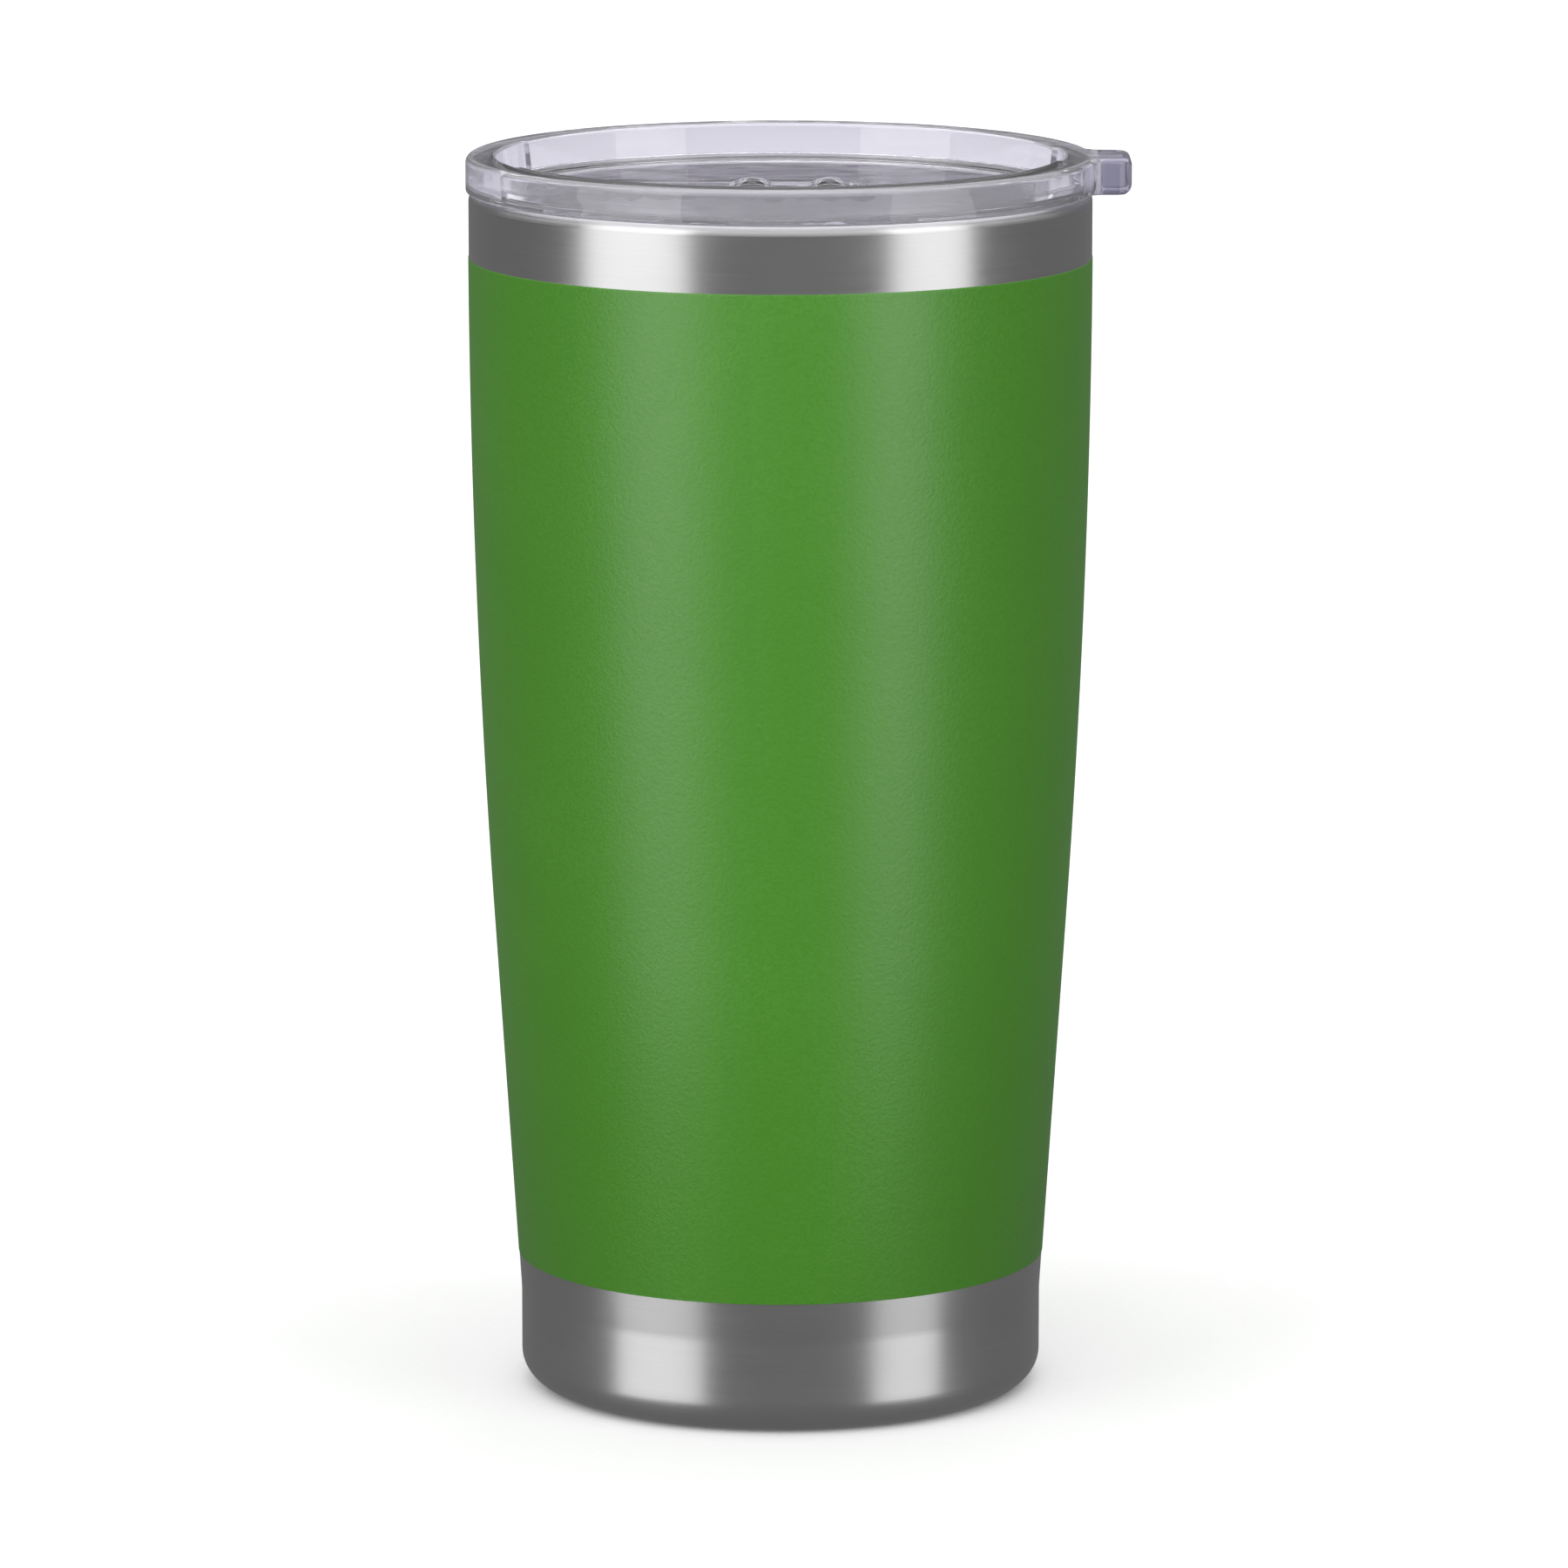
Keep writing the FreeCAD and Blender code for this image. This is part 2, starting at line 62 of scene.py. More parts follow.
def rounded(corners, closed=False):
    """Points of an outline; a corner is (x, y) or (x, y, radius, steps), the last drawn as an arc."""
    points = []
    count = len(corners)
    for index, corner in enumerate(corners):
        here = Vector(corner[:2])
        if len(corner) == 2:
            points.append(here)
            continue
        back = (Vector(corners[index - 1][:2]) - here).normalized()
        ahead = (Vector(corners[(index + 1) % count][:2]) - here).normalized()
        half = back.angle(ahead) / 2
        centre = here + (back + ahead).normalized() * corner[2] / math.sin(half)
        arm = here + back * corner[2] / math.tan(half) - centre
        turn = math.copysign(math.pi - 2 * half, ahead.cross(back))
        for step in range(corner[3] + 1):
            points.append(centre + Matrix.Rotation(turn * step / corner[3], 2) @ arm)
    if closed:
        points.append(points[0])
    return points


def drawn(name, points):
    """A line of edges, made from one vertex that is extruded from point to point."""
    bpy.ops.object.select_all(action="DESELECT")
    bpy.ops.mesh.primitive_plane_add(size=0.001, location=(0, 0, 0))
    piece = bpy.context.object
    piece.name = name
    piece.data.name = name
    bpy.ops.object.mode_set(mode="EDIT")
    bpy.ops.mesh.select_mode(type="VERT")
    bpy.ops.mesh.merge(type="CENTER")
    bpy.ops.transform.translate(value=points[0])
    for here, there in zip(points, points[1:]):
        bpy.ops.mesh.extrude_region_move(TRANSFORM_OT_translate={"value": there - here})
    bpy.ops.mesh.select_all(action="SELECT")
    bpy.ops.mesh.remove_doubles(threshold=merge_reach)
    return piece


def spin_round(angle=math.tau, steps=turn_steps):
    """In edit mode, spins what is selected round the cup's axis, closes the seams, and leaves."""
    bpy.ops.mesh.spin(steps=steps, angle=angle, center=(0, 0, 0), axis=(0, 0, 1))
    bpy.ops.mesh.select_all(action="SELECT")
    bpy.ops.mesh.remove_doubles(threshold=merge_reach)
    bpy.ops.mesh.normals_make_consistent(inside=False)
    bpy.ops.object.mode_set(mode="OBJECT")


def spun(name, outline):
    """Spins an outline of (radius, height) points round the cup's axis."""
    piece = drawn(name, [Vector((p.x, 0, p.y)) for p in outline])
    spin_round()
    return piece


def picked(piece):
    """Makes a piece the only one selected, and the active one."""
    bpy.ops.object.select_all(action="DESELECT")
    piece.select_set(True)
    bpy.context.view_layer.objects.active = piece


def modified(piece, kind, **settings):
    """Adds one modifier to a piece and applies it."""
    picked(piece)
    bpy.ops.object.modifier_add(type=kind)
    modifier = piece.modifiers[-1]
    for setting, value in settings.items():
        setattr(modifier, setting, value)
    bpy.ops.object.modifier_apply(modifier=modifier.name)


def smoothed(piece, angle=30.0):
    """Smooth shading, except over edges that turn by more than the angle."""
    picked(piece)
    bpy.ops.object.shade_smooth_by_angle(angle=math.radians(angle))


def placed(tree, kind, inputs, **settings):
    """Adds a shader node, with its inputs filled by values or by other nodes' outputs."""
    node = tree.nodes.new(kind)
    for setting, value in settings.items():
        setattr(node, setting, value)
    for socket, value in inputs.items():
        if isinstance(value, bpy.types.NodeSocket):
            tree.links.new(value, node.inputs[socket])
        else:
            node.inputs[socket].default_value = value
    return node


def new_group(name, inputs, outputs):
    """A node group with named sockets, and its input and output nodes."""
    tree = bpy.data.node_groups.new(name, "ShaderNodeTree")
    for socket, value in inputs.items():
        made = tree.interface.new_socket(socket, in_out="INPUT", socket_type="NodeSocketFloat")
        made.default_value = value
    for socket, kind in outputs.items():
        tree.interface.new_socket(socket, in_out="OUTPUT", socket_type=kind)
    return tree, tree.nodes.new("NodeGroupInput"), tree.nodes.new("NodeGroupOutput")


def new_finish(name, **values):
    """A material whose Principled shader has the given plain values, and the shader's node."""
    material = bpy.data.materials.new(name)
    material.use_nodes = True
    shader = material.node_tree.nodes["Principled BSDF"]
    for socket, value in values.items():
        shader.inputs[socket.replace("_", " ")].default_value = value
    return material, material.node_tree, shader


# Lines left by turning: they run round the axis on upright walls and on flat discs alike.
turned_lines, given, result = new_group(
    "turned_lines",
    {"Lines": 4000.0, "Wander": 45.0, "Depth": 0.000003},
    {"Streaks": "NodeSocketFloat", "Normal": "NodeSocketVector"},
)
where = placed(turned_lines, "ShaderNodeTexCoord", {})
axes = placed(turned_lines, "ShaderNodeSeparateXYZ", {0: where.outputs["Object"]})
across = placed(turned_lines, "ShaderNodeCombineXYZ", {0: axes.outputs[0], 1: axes.outputs[1]})
radius = placed(turned_lines, "ShaderNodeVectorMath", {0: across.outputs[0]}, operation="LENGTH")
run = placed(
    turned_lines, "ShaderNodeMath", {0: radius.outputs["Value"], 1: axes.outputs[2]}, operation="ADD"
)
fine = placed(
    turned_lines, "ShaderNodeMath", {0: run.outputs[0], 1: given.outputs["Lines"]}, operation="MULTIPLY"
)
slow = placed(
    turned_lines,
    "ShaderNodeVectorMath",
    {0: across.outputs[0], "Scale": given.outputs["Wander"]},
    operation="SCALE",
)
lift = placed(turned_lines, "ShaderNodeCombineXYZ", {2: fine.outputs[0]})
grid = placed(
    turned_lines, "ShaderNodeVectorMath", {0: slow.outputs[0], 1: lift.outputs[0]}, operation="ADD"
)
streak = placed(
    turned_lines,
    "ShaderNodeTexNoise",
    {"Vector": grid.outputs[0], "Scale": 1.0, "Detail": 4.0, "Roughness": 0.6},
)
ridge = placed(
    turned_lines,
    "ShaderNodeBump",
    {"Strength": 1.0, "Distance": given.outputs["Depth"], "Height": streak.outputs["Fac"]},
)
turned_lines.links.new(streak.outputs["Fac"], result.inputs["Streaks"])
turned_lines.links.new(ridge.outputs["Normal"], result.inputs["Normal"])

# Faint marks of handling: soft blotches with a few finer smears.
handling, given, result = new_group("handling_marks", {"Size": 60.0}, {"Mask": "NodeSocketFloat"})
where = placed(handling, "ShaderNodeTexCoord", {})
blotch = placed(
    handling,
    "ShaderNodeTexNoise",
    {
        "Vector": where.outputs["Object"],
        "Scale": given.outputs["Size"],
        "Detail": 6.0,
        "Distortion": 0.8,
    },
)
soft = placed(
    handling, "ShaderNodeMapRange", {"Value": blotch.outputs["Fac"], "From Min": 0.38, "From Max": 0.72}
)
handling.links.new(soft.outputs["Result"], result.inputs["Mask"])


def steel_finish(name, colour, roughness, spread, lines, depth, anisotropy):
    """Turned stainless steel: streaked and faintly marked, its gloss drawn out along the axis."""
    material, tree, shader = new_finish(
        name, Metallic=1.0, Anisotropic=anisotropy, Anisotropic_Rotation=0.25, Base_Color=colour
    )
    grain = placed(tree, "ShaderNodeGroup", {}, node_tree=turned_lines)
    grain.inputs["Lines"].default_value = lines
    grain.inputs["Depth"].default_value = depth
    marks = placed(tree, "ShaderNodeGroup", {}, node_tree=handling)
    dull = placed(
        tree,
        "ShaderNodeMapRange",
        {"Value": grain.outputs["Streaks"], "To Min": roughness, "To Max": roughness + spread},
    )
    worn = placed(
        tree,
        "ShaderNodeMath",
        {0: marks.outputs["Mask"], 1: spread / 2, 2: dull.outputs["Result"]},
        operation="MULTIPLY_ADD",
    )
    tone = placed(
        tree,
        "ShaderNodeMixRGB",
        {
            "Fac": grain.outputs["Streaks"],
            "Color1": [channel * 0.93 for channel in colour[:3]] + [1.0],
            "Color2": [channel * 1.05 for channel in colour[:3]] + [1.0],
        },
    )
    around = placed(tree, "ShaderNodeTangent", {}, direction_type="RADIAL", axis="Z")
    tree.links.new(tone.outputs[0], shader.inputs["Base Color"])
    tree.links.new(worn.outputs[0], shader.inputs["Roughness"])
    tree.links.new(grain.outputs["Normal"], shader.inputs["Normal"])
    tree.links.new(around.outputs[0], shader.inputs["Tangent"])
    return material


shell_steel = steel_finish(
    "shell_steel",
    steel_grey,
    roughness=0.26,
    spread=0.07,
    lines=4000.0,
    depth=0.000003,
    anisotropy=0.6,
)

shell_outline = rounded(
    [
        (foot_radius, shell_low.z),
        (foot_radius, foot_top, foot_bend_radius, 4),
        (mouth_radius, shell_bend, shell_bend_radius, 32),
        (mouth_radius, shell_high.z),
    ]
)
shell = spun("shell_tube", shell_outline)
modified(shell, "SOLIDIFY", thickness=shell_wall, offset=-1.0, use_even_offset=True)
smoothed(shell)
shell.data.materials.append(shell_steel)
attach(shell, "cup")
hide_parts("outer_shell")

# ---- Base cover --------------------------------------------------------------------------------
# A dish pressed from the same sheet, with a rounded corner and a raised middle, so that the cup
# stands on a ring. It is welded to the shell's foot and polished with it.
base_wall = 0.0005
base_recess = 0.0012
base_ring = 0.026
base_slope = 0.0015
base_step_round = 0.001
base_corner_round = 0.0045
base_outline = rounded(
    [
        (0.0, base_recess),
        (base_ring - base_slope, base_recess, base_step_round, 6),
        (base_ring, 0.0, base_step_round, 6),
        (foot_radius, 0.0, base_corner_round, 16),
        (foot_radius, base_high.z),
    ]
)
base = spun("base_dish", base_outline)
modified(base, "SOLIDIFY", thickness=base_wall, offset=-1.0, use_even_offset=True)
smoothed(base)
base.data.materials.append(shell_steel)
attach(base, "cup")
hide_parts("base_cover")

# ---- Powder coat -------------------------------------------------------------------------------
# Green polyester powder, sprayed and baked in a skin 0.08 mm thick between two masked edges. Its
# surface is satin, with the fine orange-peel grain that baked powder has.
coat_low, coat_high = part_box("powder_coat")
coat_thickness = 0.00008
coat_stand_off = 0.00001
coat_edge = 0.00005
coat_green = (0.062, 0.258, 0.012, 1.0)
coat_pale = (0.076, 0.288, 0.020, 1.0)


def shell_radius(height):
    """Outside radius of the shell at a height, read off its outline."""
    for below, above in zip(shell_outline, shell_outline[1:]):
        if below.y <= height <= above.y:
            return below.x + (above.x - below.x) * (height - below.y) / (above.y - below.y)
    return mouth_radius


coat_line = [Vector((shell_radius(coat_low.z), coat_low.z))]
coat_line += [p for p in shell_outline if coat_low.z < p.y < coat_high.z]
coat_line.append(Vector((shell_radius(coat_high.z), coat_high.z)))
skin = coat_thickness - coat_stand_off
coat = spun("green_coat", [p + Vector((coat_stand_off, 0)) for p in coat_line])
modified(coat, "SOLIDIFY", thickness=skin, offset=1.0, use_even_offset=True)
modified(
    coat, "BEVEL", width=coat_edge, segments=3, limit_method="ANGLE", angle_limit=math.radians(60)
)
smoothed(coat, 50.0)

powder, given, result = new_group(
    "powder_grain",
    {"Size": 1800.0, "Depth": 0.00004},
    {"Grain": "NodeSocketFloat", "Normal": "NodeSocketVector"},
)
where = placed(powder, "ShaderNodeTexCoord", {})
peel = placed(
    powder,
    "ShaderNodeTexNoise",
    {"Vector": where.outputs["Object"], "Scale": given.outputs["Size"], "Detail": 3.0},
)
bumps = placed(
    powder,
    "ShaderNodeBump",
    {"Strength": 1.0, "Distance": given.outputs["Depth"], "Height": peel.outputs["Fac"]},
)
powder.links.new(peel.outputs["Fac"], result.inputs["Grain"])
powder.links.new(bumps.outputs["Normal"], result.inputs["Normal"])

green_coat, tree, shader = new_finish("green_powder_coat", IOR=1.5, Specular_IOR_Level=0.9)
grain = placed(tree, "ShaderNodeGroup", {}, node_tree=powder)
marks = placed(tree, "ShaderNodeGroup", {"Size": 22.0}, node_tree=handling)
speckle = placed(
    tree, "ShaderNodeMapRange", {"Value": grain.outputs["Grain"], "From Min": 0.3, "From Max": 0.7}
)
drift = placed(
    tree, "ShaderNodeMath", {0: marks.outputs["Mask"], 1: speckle.outputs[0]}, operation="MULTIPLY"
)
green = placed(
    tree,
    "ShaderNodeMixRGB",
    {"Fac": drift.outputs[0], "Color1": coat_green, "Color2": coat_pale},
)
satin = placed(
    tree,
    "ShaderNodeMapRange",
    {"Value": speckle.outputs[0], "To Min": 0.34, "To Max": 0.44},
)
tree.links.new(green.outputs[0], shader.inputs["Base Color"])
tree.links.new(satin.outputs[0], shader.inputs["Roughness"])
tree.links.new(grain.outputs["Normal"], shader.inputs["Normal"])
coat.data.materials.append(green_coat)
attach(coat, "cup")
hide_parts("powder_coat")

# ---- Liner wall --------------------------------------------------------------------------------
# The inner cup's wall, a tube of 0.4 mm stainless whose mouth is rolled outward into the drinking
# lip and welded to the shell. Inside it is turned and electropolished.
liner_low, liner_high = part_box("liner_wall")
lip_width = 0.0026
lip_radius = 0.0012
liner_wall = 0.0004
liner_bore = mouth_radius - lip_width
liner_foot_outside = 0.0297
liner_foot = liner_foot_outside - liner_wall
liner_floor = 0.020
liner_bend = 0.140
liner_bend_radius = 0.40
liner_joint = liner_low.z
liner_slope = (liner_bore - liner_foot) / (liner_bend - liner_floor)
liner_grey = (0.68, 0.68, 0.68, 1.0)
liner_steel = steel_finish(
    "liner_steel",
    liner_grey,
    roughness=0.30,
    spread=0.06,
    lines=2600.0,
    depth=0.000004,
    anisotropy=1.0,
)
liner_joint_radius = liner_foot + (liner_joint - liner_floor) * liner_slope
liner_outline = rounded(
    [
        (liner_joint_radius, liner_joint),
        (liner_bore, liner_bend, liner_bend_radius, 24),
        (liner_bore, liner_high.z, lip_radius, 10),
        (mouth_radius, liner_high.z, lip_radius, 10),
        (mouth_radius, shell_high.z),
    ]
)
liner = spun("liner_tube", liner_outline)
modified(liner, "SOLIDIFY", thickness=liner_wall, offset=-1.0, use_even_offset=True)
smoothed(liner)
liner.data.materials.append(liner_steel)
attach(liner, "cup")
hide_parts("liner_wall")

# ---- Liner bottom ------------------------------------------------------------------------------
# A pressed stainless dish with a wide corner, welded to the liner's wall and turned with it. The
# outline is its inside, so the sheet's thickness goes outward, into the vacuum.
bottom_corner = 0.008
bottom_outline = rounded(
    [
        (0.0, liner_floor),
        (liner_foot, liner_floor, bottom_corner, 14),
        (liner_joint_radius, liner_joint),
    ]
)
bottom = spun("liner_dish", bottom_outline)
modified(bottom, "SOLIDIFY", thickness=liner_wall, offset=1.0, use_even_offset=True)
smoothed(bottom)
bottom.data.materials.append(liner_steel)
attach(bottom, "cup")
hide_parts("liner_bottom")

# ---- Lid body ----------------------------------------------------------------------------------
# One clear moulding. A thick rim sits on the cup's lip and carries the pull tab; inside it the deck
# is sunk, with a channel for the slider, and a hollow plug below goes into the liner.
lid_low, lid_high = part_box("lid_body")
flange_radius = -lid_low.x
tab_tip = lid_high.x
flange_under = 0.1714
lid_top = lid_high.z
deck = 0.1716
deck_under = 0.1696
channel_floor = 0.1699
channel_under = 0.1683
rim_radius = 0.0393
recess_radius = 0.0387
plug_radius = 0.04095
plug_bore = 0.03855
groove_low = 0.1646
groove_high = 0.1684
groove_radius = 0.03975
plug_end = lid_low.z
tab_half = 0.0065
tab_blend = 0.0020
tab_corner = 0.0026
tab_toe_round = 0.0015
rim_top_round = 0.0010
rim_under_round = 0.0004
plug_end_round = 0.0006
bore_round = 0.0010
recess_round = 0.0010
pocket_depth = 0.0008
overlap = 0.0004
overshoot = 0.002
cup_axis = Vector((0.0, 0.0))


def selected_edges(piece, wanted):
    """In edit mode, selects the edges for which wanted(one end, other end) is true."""
    bpy.ops.mesh.select_mode(type="EDGE")
    bpy.ops.mesh.select_all(action="DESELECT")
    edges = bmesh.from_edit_mesh(piece.data)
    for edge in edges.edges:
        if wanted(edge.verts[0].co, edge.verts[1].co):
            edge.select_set(True)
    bmesh.update_edit_mesh(piece.data)


def beveled(piece, wanted, width, segments):
    """Rounds the edges picked by wanted."""
    picked(piece)
    bpy.ops.object.mode_set(mode="EDIT")
    selected_edges(piece, wanted)
    bpy.ops.mesh.bevel(offset=width, offset_type="OFFSET", segments=segments, affect="EDGES")
    bpy.ops.object.mode_set(mode="OBJECT")


def thickened(name, outline, along):
    """A block made by filling a closed outline of 3-D points and extruding it along a vector."""
    piece = drawn(name, outline)
    bpy.ops.mesh.edge_face_add()
    bpy.ops.mesh.extrude_region_move(TRANSFORM_OT_translate={"value": along})
    bpy.ops.mesh.select_all(action="SELECT")
    bpy.ops.mesh.normals_make_consistent(inside=False)
    bpy.ops.object.mode_set(mode="OBJECT")
    return piece


def joined(piece, tool, operation="UNION"):
    """Joins a second body to a piece, or cuts the piece with it, and clears the tool away."""
    modified(piece, "BOOLEAN", object=tool, operation=operation, solver="EXACT")
    bpy.data.objects.remove(tool)


def polar(angle, radius):
    """The point (x, y) at an angle and a distance from the cup's axis."""
    return Vector((math.cos(angle), math.sin(angle))) * radius


def arc(centre, radius, start, sweep, steps):
    """Points of an arc about a centre, from the start angle through the sweep."""
    return [centre + polar(start + sweep * step / steps, radius) for step in range(steps + 1)]


def flange_plan():
    """The rim's outline seen from above: a round with the tab blended into it."""
    centre_y = tab_half + tab_blend
    centre_x = math.sqrt((flange_radius + tab_blend) ** 2 - centre_y**2)
    meet = math.atan2(centre_y, centre_x)
    points = arc(cup_axis, flange_radius, meet, math.tau - 2 * meet, turn_steps)
    blend = arc(
        Vector((centre_x, centre_y)), tab_blend, math.pi + meet, math.pi / 2 - meet, 8
    )
    corner_centre = Vector((tab_tip - tab_corner, tab_half - tab_corner))
    side = blend[1:] + arc(corner_centre, tab_corner, math.pi / 2, -math.pi / 2, 8)
    points += [Vector((p.x, -p.y)) for p in side]
    points += reversed(side)
    points.append(points[0])
    return points


def at_height(height, reach=0.00001):
    """Picks edges that lie at one height."""
    return lambda one, other: max(abs(one.z - height), abs(other.z - height)) < reach


def level_plan(outline, height):
    """An outline of (x, y) points laid at one height."""
    return [Vector((p.x, p.y, height)) for p in outline]


rise = Vector((0, 0, lid_top - flange_under))
lid = thickened("lid_moulding", level_plan(flange_plan(), flange_under), rise)
beveled(lid, at_height(lid_top), rim_top_round, 8)
beveled(lid, at_height(flange_under), rim_under_round, 4)

# The tab's end is rounder below.
toe_reach = 0.005
toe_half_width = 0.01
toe_start = flange_radius + 0.0005
toe = rounded(
    [
        (tab_tip + toe_reach, flange_under - toe_reach),
        (tab_tip + toe_reach, lid_top),
        (tab_tip, lid_top),
        (tab_tip, flange_under, tab_toe_round, 8),
        (toe_start, flange_under),
        (toe_start, flange_under - toe_reach),
    ],
    closed=True,
)
toe_line = [Vector((p.x, -toe_half_width, p.y)) for p in toe]
toe_tool = thickened("toe", toe_line, Vector((0, 2 * toe_half_width, 0)))
joined(lid, toe_tool, "DIFFERENCE")

plug = rounded(
    [
        (0.0, deck + overlap),
        (plug_radius, deck + overlap),
        (plug_radius, groove_high),
        (groove_radius, groove_high),
        (groove_radius, groove_low),
        (plug_radius, groove_low),
        (plug_radius, plug_end, plug_end_round, 5),
        (plug_bore, plug_end, plug_end_round, 5),
        (plug_bore, deck_under, bore_round, 6),
        (0.0, deck_under),
    ]
)
joined(lid, spun("plug", plug))
recess = rounded(
    [
        (0.0, deck),
        (recess_radius, deck, recess_round, 8),
        (rim_radius, lid_top),
        (rim_radius, lid_top + overshoot),
        (0.0, lid_top + overshoot),
    ]
)
joined(lid, spun("recess", recess), "DIFFERENCE")

slider_low, slider_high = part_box("lid_slider")
slider_gap = 0.00025
channel_half = 0.011
channel_high = slider_high.x + slider_gap
channel_corner = 0.003
channel_end = recess_radius - 0.0004
channel_cut_height = 0.004


def tongue_plan(half, high, corner, end_radius, end_x=0.0):
    """A tongue seen from above: its far end on an arc about end_x, its two near corners rounded."""
    reach = math.asin(half / end_radius)
    points = arc(Vector((end_x, 0)), end_radius, math.pi - reach, 2 * reach, 32)
    low = end_x - end_radius
    near = rounded([(low, -half), (high, -half, corner, 8), (high, half, corner, 8), (low, half)])
    points += near[1:-1]
    points.append(points[0])
    return points


def channel_plan(side, end_radius):
    """The slider's channel seen from above, widened by side."""
    return tongue_plan(
        channel_half + side, channel_high + side, channel_corner + side, end_radius
    )


# A pod under the deck thickens the channel's floor.
pod_side = 0.0018
pod_overlap = 0.0001
pod_radius = (plug_bore + groove_radius) / 2
pod_plan = level_plan(channel_plan(pod_side, pod_radius), channel_under)
pod_height = deck_under - channel_under + pod_overlap
joined(lid, thickened("pod", pod_plan, Vector((0, 0, pod_height))))


def wall_pocket(half_angle, centre_angle):
    """Cutter for a shallow square-ended pocket in the recess wall."""
    inner = recess_radius - 0.001
    section = rounded(
        [
            (inner, deck),
            (recess_radius + pocket_depth, deck, recess_round, 6),
            (rim_radius + pocket_depth, lid_top),
            (rim_radius + pocket_depth, lid_top + overshoot),
            (inner, lid_top + overshoot),
        ],
        closed=True,
    )
    # The spin runs clockwise, so the section is set at the pocket's far end.
    turn = Matrix.Rotation(math.radians(centre_angle + half_angle), 4, "Z")
    piece = drawn("pocket", [turn @ Vector((p.x, 0, p.y)) for p in section])
    bpy.ops.mesh.edge_face_add()
    spin_round(math.radians(2 * half_angle), round(turn_steps * half_angle / 180))
    return piece


sip_pocket = wall_pocket(half_angle=24.0, centre_angle=180.0)
tab_pocket = wall_pocket(half_angle=11.5, centre_angle=0.0)
joined(lid, sip_pocket, "DIFFERENCE")
joined(lid, tab_pocket, "DIFFERENCE")
channel_tool = level_plan(channel_plan(0.0, channel_end), channel_floor)
joined(lid, thickened("channel", channel_tool, Vector((0, 0, channel_cut_height))), "DIFFERENCE")

slot_radius = 0.03485
slot_half_width = 0.0025
slot_half_angle = math.radians(10.5)
slot_start = math.pi - slot_half_angle
slot_end = math.pi + slot_half_angle
slot_outer = slot_radius + slot_half_width
slot_inner = slot_radius - slot_half_width
slot = arc(cup_axis, slot_outer, slot_start, 2 * slot_half_angle, 16)
slot += arc(polar(slot_end, slot_radius), slot_half_width, slot_end, math.pi, 12)[1:-1]
slot += arc(cup_axis, slot_inner, slot_end, -2 * slot_half_angle, 16)
slot += arc(polar(slot_start, slot_radius), slot_half_width, slot_start + math.pi, math.pi, 12)[1:-1]
slot.append(slot[0])
cut_low = 0.166
pod_cut = Vector((0, 0, 0.005))
deck_cut = Vector((0, 0, 0.007))
joined(lid, thickened("slot", level_plan(slot, cut_low), pod_cut), "DIFFERENCE")

guide_half = 0.0021
guide_round = 0.0004
leg_x = (slider_low.x + slider_high.x) / 2
guide_low = leg_x - 0.0132
guide_high = leg_x + 0.0032
guide = rounded(
    [
        (guide_low, -guide_half, guide_round, 4),
        (guide_high, -guide_half, guide_round, 4),
        (guide_high, guide_half, guide_round, 4),
        (guide_low, guide_half, guide_round, 4),
    ],
    closed=True,
)
joined(lid, thickened("guide", level_plan(guide, cut_low), pod_cut), "DIFFERENCE")
vent_radius = 0.001
vent_centre = Vector((recess_radius - 0.0057, 0))
vent = arc(vent_centre, vent_radius, 0.0, math.tau, 32)
joined(lid, thickened("vent", level_plan(vent, cut_low), deck_cut), "DIFFERENCE")
mouth_round = 0.0004


def recess_mouth(one, other):
    """Picks the edges round the recess and its pockets where they open in the rim's top."""
    top = min(one.z, other.z) > lid_top - 0.00001
    return top and max(one.xy.length, other.xy.length) < rim_radius + pocket_depth + 0.0001


beveled(lid, recess_mouth, mouth_round, 4)
smoothed(lid, 35.0)
modified(lid, "WEIGHTED_NORMAL", mode="FACE_AREA", weight=100, keep_sharp=True)


def clear_finish(name, tint, deep_tint, clearness, roughness, haze, unevenness, index=1.5):
    """Clear moulded plastic, hazed by handling, deeper in tint where the tab is thick."""
    material, tree, shader = new_finish(name, IOR=index, Transmission_Weight=clearness)
    marks = placed(tree, "ShaderNodeGroup", {"Size": 90.0}, node_tree=handling)
    gloss = placed(
        tree,
        "ShaderNodeMapRange",
        {"Value": marks.outputs["Mask"], "To Min": roughness, "To Max": roughness + haze},
    )
    where = placed(tree, "ShaderNodeTexCoord", {})
    along = placed(tree, "ShaderNodeSeparateXYZ", {0: where.outputs["Object"]})
    thick = placed(
        tree,
        "ShaderNodeMapRange",
        {"Value": along.outputs[0], "From Min": flange_radius - 0.001, "From Max": tab_tip - 0.004},
    )
    body = placed(
        tree, "ShaderNodeMixRGB", {"Fac": thick.outputs[0], "Color1": tint, "Color2": deep_tint}
    )
    flow = placed(
        tree,
        "ShaderNodeTexNoise",
        {"Vector": where.outputs["Object"], "Scale": 150.0, "Detail": 1.0},
    )
    wave = placed(
        tree,
        "ShaderNodeBump",
        {"Strength": 1.0, "Distance": unevenness, "Height": flow.outputs["Fac"]},
    )
    ray = placed(tree, "ShaderNodeLightPath", {})
    lit = placed(tree, "ShaderNodeBsdfTransparent", {"Color": tint})
    passing = placed(
        tree,
        "ShaderNodeMixShader",
        {0: ray.outputs["Is Shadow Ray"], 1: shader.outputs[0], 2: lit.outputs[0]},
    )
    tree.links.new(body.outputs[0], shader.inputs["Base Color"])
    tree.links.new(gloss.outputs[0], shader.inputs["Roughness"])
    tree.links.new(wave.outputs[0], shader.inputs["Normal"])
    tree.links.new(passing.outputs[0], tree.nodes["Material Output"].inputs["Surface"])
    return material


